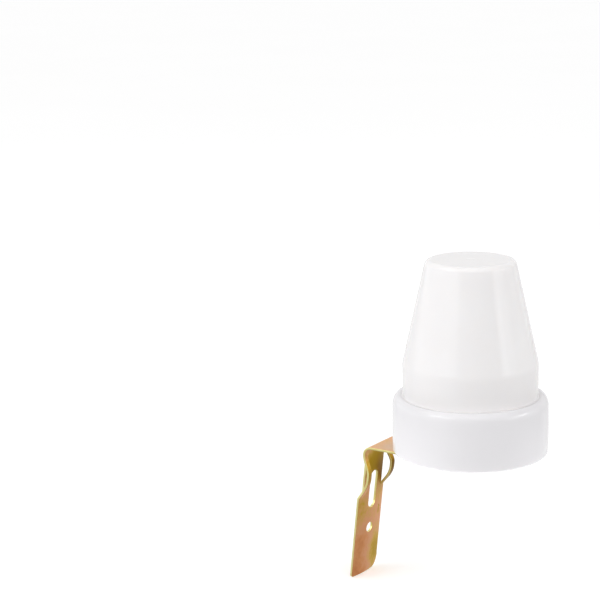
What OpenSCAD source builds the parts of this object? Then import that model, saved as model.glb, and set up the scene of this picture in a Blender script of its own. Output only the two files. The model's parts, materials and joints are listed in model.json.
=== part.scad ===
// Dusk switch: a white dome over a round moulded base, hung on a plated steel bracket.
// Frame: +Z up, origin on the dome's axis at the base's underside, bracket leg on the -X side.

/* [Cover] */
// Outer radius of the straight band at the dome's foot
cover_r = 23.6; // [22.5:0.1:30]
// Radius at the top of the cone, measured at its unrounded corner
cover_top_r = 15.5; // [14.5:0.1:20]
// Height of the dome's top above the base's underside
cover_top_z = 68.2; // [66:0.1:85]
// Height where the straight band turns into the cone
cover_crease_z = 31.7; // [28:0.1:40]
// Wall of the dome
cover_wall = 1.5; // [1:0.1:2]
// Fillet round the top edge
cover_fillet = 2; // [1:0.1:4]
// How far the snap flange stands out at the dome's foot
snap_depth = 1.2; // [0.8:0.1:1.6]
// Height of the snap flange
snap_h = 3; // [2:0.1:4]

/* [Base] */
// Height of the base ring
base_h = 20.3; // [19:0.1:26]
// How far the ring stands out past the dome's band
ring_step = 3.7; // [3:0.1:5]
// Drop of the ring's rounded shoulder
shoulder_h = 3.6; // [2:0.1:5]
// Rounding of the lip against the dome
lip_round = 1.1; // [0.5:0.1:1.2]
// Height of the lip that holds the flange down
lip_h = 4; // [3:0.1:5]
// Rounding of the ring's bottom edge
foot_round = 0.6; // [0.5:0.1:1.5]
// Thickness of the floor
floor_t = 2.5; // [2:0.1:3]
// Drop from the underside to the bracket's arm
seat_h = 3.1; // [2:0.1:5]
// Clearance between moulded pieces that slide together
fit = 0.12; // [0.05:0.01:0.3]

/* [Bracket] */
// Thickness of the sheet
sheet_t = 0.8; // [0.6:0.1:1.2]
// Width of the strip
strip_w = 16.2; // [15:0.1:20]
// Distance from the dome's axis to the back of the leg, at the arm's height
leg_x = 39.35; // [36:0.05:50]
// Length of the leg below the arm's top face
leg_len = 52; // [50:0.1:70]
// Outward lean of the leg
leg_lean = 6.8; // [0:0.1:10]
// Outer radius of the bend
bend_r = 3.3; // [2:0.1:3.5]
// Radius of the hollow back of the leg, which sits on a pole
pole_r = 47; // [40:1:80]
// Rounding of the leg's lower corner on the far side
far_corner = 3.8; // [2:0.1:6]
// Rounding of the leg's lower corner on the near side
near_corner = 0.8; // [0.5:0.1:6]
// Rounding of the arm's free end
arm_corner_r = 4; // [2:0.1:6]
// Width of the long slot
slot_w = 4.6; // [4.2:0.1:6]
// Distance along the leg to the slot's top
slot_top = 11.3; // [10.5:0.1:14]
// Length of the slot
slot_len = 14.7; // [12:0.1:16]
// Diameter of the round screw hole
hole_d = 3.9; // [3:0.1:5]
// Distance along the leg to the round hole
hole_at = 34; // [31:0.1:40]
// Width of each side strap beside the neck
strap_w = 2.2; // [1.6:0.1:3]
// How far the near strap bows forward
near_bow = 2.5; // [1.5:0.1:4]
// Distance along the leg to the near strap's crest
near_crest = 11.2; // [9:0.1:13]
// Distance along the leg where the near strap rejoins the blade
near_end = 20.6; // [18:0.1:24]
// How far the far strap bows forward
far_bow = 3.3; // [1.5:0.1:4]
// Distance along the leg to the far strap's crest
far_crest = 9.4; // [8:0.1:12]
// Distance along the leg where the far strap rejoins the blade
far_end = 18.7; // [17:0.1:24]
// Gap sheared between a strap and the neck
shear_gap = 0.3; // [0.2:0.05:0.5]

/* [Fixing] */
// Distance from the dome's axis to the bracket's screw
screw_x = 16.5; // [15:0.1:18]
// Diameter of the bracket's screw
screw_d = 4; // [3:0.5:5]
// Diameter of the screw's head
head_d = 8; // [7:0.1:9]
// Height of the screw's head
head_h = 2.4; // [2:0.1:3]
// Width across the nut's flats
nut_flats = 7; // [6:0.1:9]
// Height of the nut
nut_h = 3.2; // [2.5:0.1:4]
// Thickness of the spring washer
washer_t = 1; // [0.8:0.1:1.4]
// Length of screw past the nut
screw_past = 1.5; // [0.5:0.1:3]
// Clearance between the screw and the holes it passes through
screw_gap = 0.25; // [0.1:0.05:0.5]
// Clearance between the screw and the nut's thread
thread_gap = 0.05; // [0.02:0.01:0.1]

/* [Wire outlet] */
// Radius of the passage for the leads
outlet_r = 3.6; // [3:0.1:4.2]
// Radius of the hole in the floor
outlet_hole_r = 5.8; // [5.2:0.1:6.5]
// How far the grommet's flanges stand past the hole
outlet_flange = 1.5; // [1:0.1:2]
// Thickness of the grommet's flanges
outlet_flange_t = 1.6; // [1:0.1:2]

/* [Circuit board] */
// Width of the board above its wings
board_w = 28; // [27:0.1:28.5]
// Width of the board across its wings
board_wing_w = 34; // [33:0.1:36]
// Height of the wings
board_wing_h = 16; // [12:0.1:18]
// Height of the board
board_h = 51; // [50.5:0.1:52]
// Thickness of the board
board_t = 1.6; // [1:0.1:2]
// Height of the board's lower edge above the underside
board_z = 6; // [5:0.1:7]
// Room between the nut and washer and the posts that hold the board
post_gap = 0.55; // [0.2:0.05:1]
// Height of the grooved posts that hold the board
post_h = 13.5; // [10:0.1:16]
// Width and depth of a grooved post
post_w = 4.8; // [4.4:0.1:5.5]
// Thickness of a component lead
lead_t = 0.6; // [0.4:0.05:0.7]
// Clearance round a lead in the board
lead_gap = 0.1; // [0.05:0.05:0.2]
// Length of lead that stands out behind the board
lead_tail = 1.2; // [0.8:0.1:2]

/* [Components] */
// Relay: width
relay_w = 15.4; // [13:0.1:15.6]
// Relay: height along the board
relay_h = 19; // [18:0.1:19.4]
// Relay: depth
relay_d = 15.2; // [10:0.1:15.4]
// Mains dropper capacitor: width
dropper_w = 8; // [6:0.1:8.4]
// Mains dropper capacitor: height along the board
dropper_h = 18; // [16:0.1:18.5]
// Mains dropper capacitor: depth
dropper_d = 14; // [8:0.1:14.5]
// Smoothing capacitor: diameter
smoothing_d = 8; // [6:0.1:8.5]
// Smoothing capacitor: length
smoothing_len = 12; // [8:0.1:14]
// Delay capacitor: diameter
delay_d = 5; // [4:0.1:6]
// Delay capacitor: length
delay_len = 11; // [8:0.1:13]
// Varistor: diameter
varistor_d = 7; // [5:0.1:8]
// Varistor: thickness
varistor_t = 3.6; // [3:0.1:4]
// Light sensor: diameter
sensor_d = 5.1; // [4:0.1:7]
// Light sensor: thickness
sensor_t = 2; // [1.5:0.1:3]
// Height of the sensor's face above the underside
sensor_z = 61.5; // [60:0.1:63]
// Transistor: diameter of the round back
transistor_d = 4.8; // [4:0.1:5]

/* [Hidden] */
$fn = 96;
eps = 0.01;
arc_step = 7.5;

// Radii and heights of the snap joint between cover and base
base_r = cover_r + ring_step;
lip_r = cover_r + fit;
rim_flat = 0.1;
shoulder_w = base_r - lip_r - lip_round - rim_flat;
flange_r = cover_r + snap_depth;
wall_in_r = flange_r + fit;
flange_top = base_h - lip_h - fit;
flange_z = flange_top - snap_h;
cover_in_r = cover_r - cover_wall;
flange_edge = 0.4;
cone_angle = atan((cover_r - cover_top_r) / (cover_top_z - cover_crease_z));

// Stack along the bracket's screw, from its head under the arm up to its end inside the base
arm_top = -seat_h;
arm_low = arm_top - sheet_t;
head_low = arm_low - head_h;
nut_low = floor_t + washer_t;
screw_end = nut_low + nut_h + screw_past;
washer_rim = 1.6;
washer_r = screw_d / 2 + screw_gap + washer_rim;
arm_gap = 1.2;
arm_end = outlet_hole_r + outlet_flange + arm_gap;
boss_wall = 3;
rail_setback = 6.5;
seat_rib = 1.6;
fence_h = 0.6;
ledge_ribs = 8;
ledge_inset = 0.8;

// Neck of the bracket, in distances along the leg and forward of its back
slit_y = strip_w / 2 - strap_w;
bend_end = bend_r * (1 - sin(leg_lean)) / cos(leg_lean);
leg_edge_drop = pole_r - sqrt(pow(pole_r, 2) - pow(strip_w / 2, 2));
strap_seat = 0.75;
strap_drop = leg_edge_drop * strap_seat;
strap_tail = 1.2;
strap_knee = 0.6;
crest_len = 1;
lap = 0.3;

// Plane of the board's component side, clear of the nut and its washer
board_y = max(washer_r, nut_flats / 2) + post_gap + post_w / 2 - board_t / 2;

// Places on the board: across, up, as seen from the component side
relay_at = [4.3, 30.5];
dropper_at = [-9.2, 29];
smoothing_at = [8, 11];
delay_at = [-6.3, 12];
varistor_at = [-12.1, 12];
surge_at = [0, 17.6];
resistors_at = [[-9, 2.6], [-9, 5.8], [9, 2.6]];
diode_row = 45.4;
diode_step = 3.2;
first_diode = -12.2;
rectifiers_at = [for (i = [0 : 3]) [first_diode + i * diode_step, diode_row]];
zener_at = [first_diode + 5 * diode_step, diode_row];
flyback_at = [first_diode + 6 * diode_step, diode_row];
transistors_at = [[0, 11.5], [11, 44.5]];
sensor_at = [0.2, 49];
sensor_reach = 3;

// Pitches of the leads
relay_pins = [[-6, -8], [6, -8], [-6, 8], [6, 8], [0, -8]];
dropper_pitch = 15;
smoothing_pitch = 3.5;
delay_pitch = 2;
varistor_pitch = 5;
surge_pitch = 15;
resistor_pitch = 8;
diode_pitch = 7.4;
transistor_pitch = 1.9;
sensor_pitch = 2.5;

// Bodies of the axial components: diameter, length
surge_body = [4, 10];
resistor_body = [2.3, 5];
diode_body = [2.6, 4.6];
zener_body = [1.9, 3.8];
standoff = 0.2;

// Rolled groove and edge of the can capacitors
can_groove = 0.35;
can_groove_low = 1.2;
can_groove_h = 1;
can_edge = 0.5;

function across(at, pitch) = [for (s = [-1, 1]) at + [s * pitch / 2, 0]];
function upward(at, pitch) = [for (s = [-1, 1]) at + [0, s * pitch / 2]];
function each_of(lists) = [for (l = lists) for (p = l) p];

relay_leads = [for (p = relay_pins) relay_at + p];
dropper_leads = upward(dropper_at, dropper_pitch);
smoothing_leads = across(smoothing_at, smoothing_pitch);
delay_leads = across(delay_at, delay_pitch);
varistor_leads = upward(varistor_at, varistor_pitch);
transistor_leads = [for (at = transistors_at) for (s = [-1 : 1]) at + [s * transistor_pitch, 0]];
sensor_leads = across(sensor_at, sensor_pitch);
axial_leads = concat(across(surge_at, surge_pitch),
    each_of([for (at = resistors_at) across(at, resistor_pitch)]),
    each_of([for (at = rectifiers_at) upward(at, diode_pitch)]),
    upward(zener_at, diode_pitch), upward(flyback_at, diode_pitch));
board_holes = concat(relay_leads, dropper_leads, smoothing_leads, delay_leads, varistor_leads,
    transistor_leads, sensor_leads, axial_leads);

// Points of an arc about a centre, from one angle to another
function arc(c, r, a, b) =
    let (n = max(1, ceil(abs(b - a) / arc_step)))
    [for (i = [0 : n]) c + r * [cos(a + (b - a) * i / n), sin(a + (b - a) * i / n)]];

// Points of a quarter of an oval about a centre, from its side up to its top
function oval(c, r) =
    [for (p = arc([0, 0], 1, 0, 90)) c + [r[0] * p[0], r[1] * p[1]]];

// Smooth rise from 0 to 1
function ease(t) = (1 - cos(180 * t)) / 2;

// Fall from 0 to 1 that ends straight, in a crease
function fall(t) = t < strap_knee ? t * t / (strap_knee * (2 - strap_knee))
    : (2 * t - strap_knee) / (2 - strap_knee);

// Outline of a ribbon of even thickness on the left of its path
function heading(p, i) =
    let (d = p[min(i + 1, len(p) - 1)] - p[max(i - 1, 0)]) d / norm(d);
function beside(p, i, t) = let (h = heading(p, i)) p[i] + t * [-h[1], h[0]];
function ribbon(p, t) =
    concat(p, [for (i = [len(p) - 1 : -1 : 0]) beside(p, i, t)]);

// Puts children on the board's component side: x across, y up, z out of the board
module on_board(at = [0, 0]) {
    translate([at[0], board_y, board_z + at[1]])
        rotate([90, 0, 0])
            children();
}

// Straight round leads through the board, up into a body
module round_leads(places, up) {
    for (p = places)
        on_board(p)
            translate([0, 0, -board_t - lead_tail])
                cylinder(d = lead_t, h = board_t + lead_tail + up);
}

// Upright can with a rolled groove near its foot
module can(d, len) {
    r = d / 2;
    groove_top = can_groove_low + can_groove_h;
    rotate_extrude()
        polygon([[0, 0], [r, 0], [r, can_groove_low],
            [r - can_groove, (can_groove_low + groove_top) / 2], [r, groove_top],
            [r, len - can_edge], [r - can_edge, len], [0, len]]);
}

// Body lying on the board with its two formed leads, along x
module axial(body, pitch) {
    lift = body[0] / 2 + standoff;
    translate([-body[1] / 2, 0, lift])
        rotate([0, 90, 0])
            cylinder(d = body[0], h = body[1]);
    for (s = [-1, 1]) {
        lead_x = s > 0 ? body[1] / 2 - eps : -pitch / 2 - lead_t / 2;
        translate([lead_x, -lead_t / 2, lift - lead_t / 2])
            cube([pitch / 2 + lead_t / 2 - body[1] / 2 + eps, lead_t, lead_t]);
        translate([s * pitch / 2 - lead_t / 2, -lead_t / 2, -board_t - lead_tail])
            cube([lead_t, lead_t, board_t + lead_tail + lift]);
    }
}

module base_bowl() {
    rotate_extrude()
        polygon(concat(
            [[0, 0]],
            arc([base_r - foot_round, foot_round], foot_round, -90, 0),
            oval([base_r - shoulder_w, base_h - shoulder_h], [shoulder_w, shoulder_h]),
            arc([lip_r + lip_round, base_h - lip_round], lip_round, 90, 180),
            [[lip_r, base_h - lip_h], [wall_in_r, base_h - lip_h],
                [wall_in_r, floor_t], [0, floor_t]]));
}

// Ribs inside the wall that carry the cover's flange
module ledges() {
    rib_in = cover_in_r + ledge_inset;
    for (i = [0 : ledge_ribs - 1])
        rotate([0, 0, (i + 0.5) * 360 / ledge_ribs])
            translate([rib_in, -seat_rib / 2, floor_t - eps])
                cube([wall_in_r + fit - rib_in, seat_rib, flange_z - floor_t + eps]);
}

// Posts with a groove each, which hold the board by its wings
module board_posts() {
    mid_y = board_y + board_t / 2;
    post_in = board_wing_w / 2 - post_w / 2;
    for (s = [0, 1])
        mirror([s, 0, 0])
            difference() {
                translate([post_in, mid_y - post_w / 2, floor_t - eps])
                    cube([post_w, post_w, post_h + eps]);
                translate([post_in - eps, board_y - fit, board_z])
                    cube([post_w / 2 + fit + eps, board_t + 2 * fit, floor_t + post_h]);
            }
}

// Boss, rails and side fences under the floor that seat the bracket's arm
module bracket_seat() {
    rail_len = base_r - arm_end - rail_setback;
    fence_y = strip_w / 2 + fit;
    translate([-screw_x, 0, -seat_h])
        cylinder(d = screw_d + 2 * boss_wall, h = seat_h + eps);
    for (s = [0, 1])
        mirror([0, s, 0]) {
            translate([-arm_end - rail_len, slit_y - seat_rib / 2, -seat_h])
                cube([rail_len, seat_rib, seat_h + eps]);
            translate([-arm_end - rail_len, fence_y, arm_top - fence_h])
                cube([rail_len, seat_rib, seat_h + fence_h + eps]);
        }
}

module base() {
    color([0.9, 0.9, 0.93])
        difference() {
            union() {
                base_bowl();
                ledges();
                board_posts();
                bracket_seat();
            }
            translate([0, 0, -1])
                cylinder(r = outlet_hole_r, h = floor_t + 2);
            translate([-screw_x, 0, -seat_h - 1])
                cylinder(d = screw_d + 2 * screw_gap, h = seat_h + floor_t + 2);
        }
}

module cover() {
    fillet_run = cover_fillet * tan((90 - cone_angle) / 2);
    fillet_c = [cover_top_r - fillet_run, cover_top_z - cover_fillet];
    in_slope = tan(cone_angle);
    in_shift = cover_wall / cos(cone_angle);
    in_top = cover_top_z - cover_wall;
    color([0.95, 0.95, 0.94])
        rotate_extrude()
            polygon(concat(
                [[cover_in_r, flange_z], [flange_r - flange_edge, flange_z],
                    [flange_r, flange_z + flange_edge], [flange_r, flange_top - flange_edge],
                    [flange_r - flange_edge, flange_top], [cover_r, flange_top],
                    [cover_r, cover_crease_z]],
                arc(fillet_c, cover_fillet, cone_angle, 90),
                [[0, cover_top_z], [0, in_top],
                    [cover_top_r - in_shift + cover_wall * in_slope, in_top],
                    [cover_in_r, cover_crease_z - (in_shift - cover_wall) / in_slope]]));
}

// Side profile of the arm and the bend, on x and z, ending square to the leg
module arm_profile() {
    c = [-leg_x + bend_end, -seat_h - bend_r];
    outer = concat([[-arm_end, arm_top]], arc(c, bend_r, 90, 180 - leg_lean));
    inner = arc(c, bend_r - sheet_t, 180 - leg_lean, 90);
    polygon(concat(outer, inner, [[-arm_end, arm_low]]));
}

module arm() {
    difference() {
        rotate([90, 0, 0])
            translate([0, 0, -strip_w / 2])
                linear_extrude(strip_w)
                    arm_profile();
        translate([-screw_x, 0, arm_low - 1])
            cylinder(d = screw_d + 2 * screw_gap, h = sheet_t + 2);
        for (s = [0, 1])
            mirror([0, s, 0])
                translate([-arm_end, strip_w / 2, arm_low - 1])
                    arm_corner();
    }
}

// Corner cut that rounds the arm's free end
module arm_corner() {
    difference() {
        translate([-arm_corner_r, -arm_corner_r, 0])
            cube([arm_corner_r + 1, arm_corner_r + 1, sheet_t + 2]);
        translate([-arm_corner_r, -arm_corner_r, -1])
            cylinder(r = arm_corner_r, h = sheet_t + 4);
    }
}

// Path of a side strap's back face: forward of the leg's back, and down along the leg
function strap_path(bow, crest, end) = concat(
    [[0, lap - bend_end]],
    [for (i = [0 : 12]) let (t = i / 12)
        [bow * ease(t), -bend_end - (crest - bend_end) * t]],
    [for (i = [0 : 12]) let (t = i / 12)
        [bow - (bow + strap_drop) * fall(t), -crest - crest_len - (end - crest - crest_len) * t]],
    [[-strap_drop, -end - strap_tail]]);

// One strap, from its outer edge inwards
module side_strap(bow, crest, end) {
    translate([0, strip_w / 2, 0])
        rotate([90, 0, 0])
            linear_extrude(strap_w - shear_gap / 2)
                polygon(ribbon(strap_path(bow, crest, end), sheet_t));
}

module side_straps() {
    side_strap(far_bow, far_crest, far_end);
    mirror([0, 1, 0])
        side_strap(near_bow, near_crest, near_end);
}

// Half of the neck and blade seen square on: across, and down along the leg
function half_blade(end, corner) =
    let (neck = slit_y - shear_gap / 2, half = strip_w / 2)
    concat([[neck, lap - bend_end], [neck, -end], [half, -end]],
        arc([half - corner, corner - leg_len], corner, 0, -90));

// Outline of the neck and blade with its long slot
module blade_outline() {
    far = half_blade(far_end, far_corner);
    near = half_blade(near_end, near_corner);
    near_back = [for (i = [len(near) - 1 : -1 : 0]) [-near[i][0], near[i][1]]];
    slot_c = slot_w / 2;
    difference() {
        polygon(concat(far, near_back));
        polygon(concat(arc([0, -slot_top - slot_c], slot_c, 0, 180),
            arc([0, -slot_top - slot_len + slot_c], slot_c, 180, 360)));
    }
}

// Neck and blade, hollow at the back to sit on a pole
module blade() {
    deep = 2 * leg_edge_drop + 2 * sheet_t;
    difference() {
        intersection() {
            translate([-pole_r, 0, -leg_len - 1])
                cylinder(r = pole_r + sheet_t, h = leg_len + 2, $fn = 360);
            translate([-deep / 2, 0, 0])
                rotate([90, 0, 90])
                    linear_extrude(deep)
                        blade_outline();
        }
        translate([-pole_r, 0, -leg_len - 2])
            cylinder(r = pole_r, h = leg_len + 4, $fn = 360);
        translate([-deep, 0, -hole_at])
            rotate([0, 90, 0])
                cylinder(d = hole_d, h = 2 * deep);
    }
}

module bracket() {
    color([0.72, 0.56, 0.34])
        union() {
            arm();
            translate([-leg_x, 0, arm_top])
                rotate([0, leg_lean, 0]) {
                    side_straps();
                    blade();
                }
        }
}

module bracket_screw() {
    recess = 0.9;
    crown = 0.8;
    color([0.75, 0.75, 0.77])
        translate([-screw_x, 0, 0])
            difference() {
                union() {
                    translate([0, 0, arm_low - eps])
                        cylinder(d = screw_d, h = screw_end - arm_low + eps);
                    rotate_extrude()
                        polygon([[0, head_low], [head_d / 2 - crown, head_low],
                            [head_d / 2, head_low + crown], [head_d / 2, arm_low], [0, arm_low]]);
                }
                for (a = [0, 90])
                    rotate([0, 0, a])
                        translate([-head_d / 4, -recess / 2, head_low - head_h / 2])
                            cube([head_d / 2, recess, head_h]);
            }
}

module lock_washer() {
    split = 0.7;
    bore_r = screw_d / 2 + screw_gap;
    color([0.7, 0.7, 0.72])
        translate([-screw_x, 0, floor_t])
            difference() {
                cylinder(r = washer_r, h = washer_t);
                translate([0, 0, -1])
                    cylinder(r = bore_r, h = washer_t + 2);
                rotate([0, 0, 20])
                    translate([0, -split / 2, -1])
                        cube([washer_r + 1, split, washer_t + 2]);
            }
}

module bracket_nut() {
    color([0.78, 0.77, 0.74])
        translate([-screw_x, 0, nut_low])
            difference() {
                cylinder(d = nut_flats / cos(30), h = nut_h, $fn = 6);
                translate([0, 0, -1])
                    cylinder(d = screw_d + 2 * thread_gap, h = nut_h + 2);
            }
}

module wire_grommet() {
    flange = outlet_hole_r + outlet_flange;
    neck = outlet_hole_r - fit;
    top = floor_t + outlet_flange_t;
    edge = 0.5;
    color([0.25, 0.25, 0.26])
        rotate_extrude()
            polygon([[outlet_r, -outlet_flange_t], [flange - edge, -outlet_flange_t],
                [flange, edge - outlet_flange_t], [flange, 0], [neck, 0], [neck, floor_t],
                [flange, floor_t], [flange, top - edge], [flange - edge, top],
                [outlet_r, top]]);
}

module circuit_board() {
    half = board_w / 2;
    wing = board_wing_w / 2;
    cut = 3;
    right = [[wing, 0], [wing, board_wing_h - cut], [wing - cut, board_wing_h],
        [half, board_wing_h], [half, board_h - cut], [half - cut, board_h]];
    left = [for (i = [len(right) - 1 : -1 : 0]) [-right[i][0], right[i][1]]];
    color([0.75, 0.6, 0.35])
        on_board()
            translate([0, 0, -board_t])
                difference() {
                    linear_extrude(board_t)
                        polygon(concat(right, left));
                    for (p = board_holes)
                        translate([p[0], p[1], -1])
                            cylinder(r = lead_t * sqrt(0.5) + lead_gap, h = board_t + 2, $fn = 24);
                }
}

module relay() {
    foot = 0.6;
    step = 0.4;
    color([0.1, 0.25, 0.55]) {
        on_board(relay_at) {
            translate([-relay_w / 2, -relay_h / 2, foot])
                cube([relay_w, relay_h, relay_d - foot]);
            translate([step - relay_w / 2, step - relay_h / 2, 0])
                cube([relay_w - 2 * step, relay_h - 2 * step, foot + step]);
        }
        round_leads(relay_leads, 1);
    }
}

module dropper_capacitor() {
    color([0.85, 0.7, 0.2]) {
        on_board(dropper_at)
            translate([-dropper_w / 2, -dropper_h / 2, 0])
                cube([dropper_w, dropper_h, dropper_d]);
        round_leads(dropper_leads, 1);
    }
}

module smoothing_capacitor() {
    color([0.12, 0.14, 0.2]) {
        on_board(smoothing_at)
            can(smoothing_d, smoothing_len);
        round_leads(smoothing_leads, 1);
    }
}

module delay_capacitor() {
    color([0.12, 0.14, 0.2]) {
        on_board(delay_at)
            can(delay_d, delay_len);
        round_leads(delay_leads, 1);
    }
}

module varistor() {
    lift = varistor_d / 2 + standoff;
    color([0.15, 0.35, 0.6]) {
        on_board(varistor_at)
            translate([-varistor_t / 2, 0, lift])
                rotate([0, 90, 0])
                    cylinder(d = varistor_d, h = varistor_t);
        round_leads(varistor_leads, lift);
    }
}

module surge_resistor() {
    color([0.55, 0.7, 0.75])
        on_board(surge_at)
            axial(surge_body, surge_pitch);
}

module signal_resistors() {
    color([0.85, 0.78, 0.6])
        for (at = resistors_at)
            on_board(at)
                axial(resistor_body, resistor_pitch);
}

module rectifier_diodes() {
    color([0.1, 0.1, 0.1])
        for (at = rectifiers_at)
            on_board(at)
                rotate([0, 0, 90])
                    axial(diode_body, diode_pitch);
}

module zener_diode() {
    color([0.8, 0.4, 0.2])
        on_board(zener_at)
            rotate([0, 0, 90])
                axial(zener_body, diode_pitch);
}

module flyback_diode() {
    color([0.1, 0.1, 0.1])
        on_board(flyback_at)
            rotate([0, 0, 90])
                axial(diode_body, diode_pitch);
}

module transistors() {
    lift = 2.5;
    body_h = 4.6;
    flat = 1.3;
    color([0.08, 0.08, 0.08]) {
        for (at = transistors_at)
            on_board(at)
                translate([0, 0, lift])
                    difference() {
                        cylinder(d = transistor_d, h = body_h);
                        translate([-transistor_d, -transistor_d - flat, -1])
                            cube([2 * transistor_d, transistor_d, body_h + 2]);
                    }
        round_leads(transistor_leads, lift + 1);
    }
}

module light_sensor() {
    disc_z = sensor_z - sensor_t;
    bend_y = board_y - sensor_reach;
    lead_z = board_z + sensor_at[1];
    tail_y = board_y + board_t + lead_tail;
    color([0.85, 0.45, 0.3]) {
        translate([sensor_at[0], bend_y, disc_z])
            cylinder(d = sensor_d, h = sensor_t);
        for (p = sensor_leads) {
            translate([p[0] - lead_t / 2, bend_y - lead_t / 2, lead_z - lead_t / 2])
                cube([lead_t, lead_t, disc_z - lead_z + lead_t / 2 + eps]);
            translate([p[0] - lead_t / 2, bend_y - lead_t / 2, lead_z - lead_t / 2])
                cube([lead_t, tail_y - bend_y + lead_t / 2, lead_t]);
        }
    }
}

module sensor_sleeves() {
    sleeve_low = board_z + sensor_at[1] + lead_t / 2 + fit;
    sleeve_r = lead_t * sqrt(0.5) + lead_gap;
    sleeve_wall = 0.3;
    sleeve_h = sensor_z - sensor_t - fit - sleeve_low;
    color([0.92, 0.9, 0.85])
        for (p = sensor_leads)
            translate([p[0], board_y - sensor_reach, sleeve_low])
                difference() {
                    cylinder(r = sleeve_r + sleeve_wall, h = sleeve_h, $fn = 24);
                    translate([0, 0, -1])
                        cylinder(r = sleeve_r, h = sleeve_h + 2, $fn = 24);
                }
}

base();
cover();
bracket();
bracket_screw();
lock_washer();
bracket_nut();
wire_grommet();
circuit_board();
relay();
dropper_capacitor();
smoothing_capacitor();
delay_capacitor();
varistor();
surge_resistor();
signal_resistors();
rectifier_diodes();
zener_diode();
flyback_diode();
transistors();
light_sensor();
sensor_sleeves();
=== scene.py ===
# %% [markdown]
# # A dusk switch: white dome, white base and a gold-brown steel bracket
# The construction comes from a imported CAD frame, in metres, with +Z up and the origin on the
# dome's axis at the underside of the base. This lesson dresses that frame. Pieces whose surface
# shows are modelled again with bmesh operators, so that their edges are rounded and their walls
# are smooth, and every other CAD node keeps its mesh and gets a finish of its own.

# %% Load the frame
import json
import math

import bmesh
import bpy
from mathutils import Matrix, Vector


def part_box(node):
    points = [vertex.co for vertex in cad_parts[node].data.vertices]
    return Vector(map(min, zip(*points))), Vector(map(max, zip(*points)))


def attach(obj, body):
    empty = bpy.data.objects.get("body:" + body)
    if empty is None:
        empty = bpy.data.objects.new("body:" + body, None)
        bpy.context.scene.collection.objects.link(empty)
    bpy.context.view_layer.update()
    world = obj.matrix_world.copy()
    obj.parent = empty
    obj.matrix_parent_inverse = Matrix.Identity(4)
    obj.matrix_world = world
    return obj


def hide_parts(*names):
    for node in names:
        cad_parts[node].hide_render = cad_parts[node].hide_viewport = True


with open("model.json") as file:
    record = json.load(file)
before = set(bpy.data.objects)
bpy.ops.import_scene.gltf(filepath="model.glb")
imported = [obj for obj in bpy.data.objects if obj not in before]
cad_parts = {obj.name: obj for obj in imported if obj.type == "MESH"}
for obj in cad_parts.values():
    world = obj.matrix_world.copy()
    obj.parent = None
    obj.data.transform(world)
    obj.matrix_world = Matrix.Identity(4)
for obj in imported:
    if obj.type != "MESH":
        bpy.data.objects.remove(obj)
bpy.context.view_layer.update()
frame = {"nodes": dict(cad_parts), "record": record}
MM = 0.001
scene = bpy.context.scene
print("nodes in the frame:", len(frame["nodes"]))

# %% [markdown]
# ## Camera
# The camera comes first, because every later choice is judged through it. It could be set by eye
# in the viewport, but numbers are easier to correct. The dome's outline fixes where it stands: a
# little over half a metre away and 14 degrees above the horizon. The object sits right of the
# middle of the picture, so the lens looks past it at an aim point, with a trace of roll.

# %% Place the camera
CAMERA_AZIMUTH = math.radians(29.33)
CAMERA_ELEVATION = math.radians(14.21)
CAMERA_DISTANCE = 572.6 * MM
CAMERA_LENS, CAMERA_SENSOR = 98.3, 36
CAMERA_ROLL = math.radians(-1.18)
DOME_MIDDLE = Vector((0, 0, 34.3 * MM))
AIM_POINT = Vector((-50.35, -30.6, 54.17)) * MM


def place_camera():
    """A camera on a sphere round the dome's middle, turned to the aim point."""
    data = bpy.data.cameras.new("photo_camera")
    data.lens = CAMERA_LENS
    data.sensor_width = CAMERA_SENSOR
    data.clip_start = 10 * MM
    camera = bpy.data.objects.new("photo_camera", data)
    level = math.cos(CAMERA_ELEVATION)
    back = Vector((math.sin(CAMERA_AZIMUTH) * level, -math.cos(CAMERA_AZIMUTH) * level,
                   math.sin(CAMERA_ELEVATION)))
    camera.location = DOME_MIDDLE + back * CAMERA_DISTANCE
    look = (AIM_POINT - camera.location).to_track_quat("-Z", "Y").to_matrix()
    roll = Matrix.Rotation(CAMERA_ROLL, 3, "Z")
    camera.rotation_euler = (look @ roll).to_euler()
    scene.collection.objects.link(camera)
    scene.camera = camera
    return camera


camera = place_camera()
print("camera at", [round(v, 3) for v in camera.location])

# %% [markdown]
# ## Helpers for materials
# A finish is a small node tree. `add` makes a node and sets its sockets in one line, and
# `finish` starts a material with a Principled shader and the Object coordinates that every
# pattern here reads, so that a pattern stays on the piece wherever the camera goes. Most
# finishes here are alike: colour, gloss and surface each drift a little, at a scale of their own.
# `clouded` makes such a finish. Nearly all of a noise lies between NOISE_LOW and NOISE_HIGH.

# %% Node helpers
NOISE_LOW, NOISE_HIGH = 0.3, 0.7


def add(tree, kind, settings=None, **sockets):
    """A shader node of that kind, with its settings and socket values."""
    made = tree.nodes.new(kind)
    for key, value in (settings or {}).items():
        setattr(made, key, value)
    for key, value in sockets.items():
        made.inputs[key.replace("_", " ")].default_value = value
    return made


def finish(name, **sockets):
    """A new material: its tree, its Principled shader and its Object coordinates."""
    material = bpy.data.materials.new(name)
    material.use_nodes = True
    tree = material.node_tree
    shader = tree.nodes["Principled BSDF"]
    for key, value in sockets.items():
        shader.inputs[key.replace("_", " ")].default_value = value
    place = tree.nodes.new("ShaderNodeTexCoord").outputs["Object"]
    return material, tree, shader, place


def noise(tree, place, scale, detail=3, stretch=(1, 1, 1)):
    """Noise on the piece's own coordinates, stretched along an axis where asked."""
    mapping = add(tree, "ShaderNodeMapping", Scale=stretch)
    texture = add(tree, "ShaderNodeTexNoise", Scale=scale, Detail=detail)
    tree.links.new(place, mapping.inputs["Vector"])
    tree.links.new(mapping.outputs["Vector"], texture.inputs["Vector"])
    return texture.outputs["Fac"]


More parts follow.
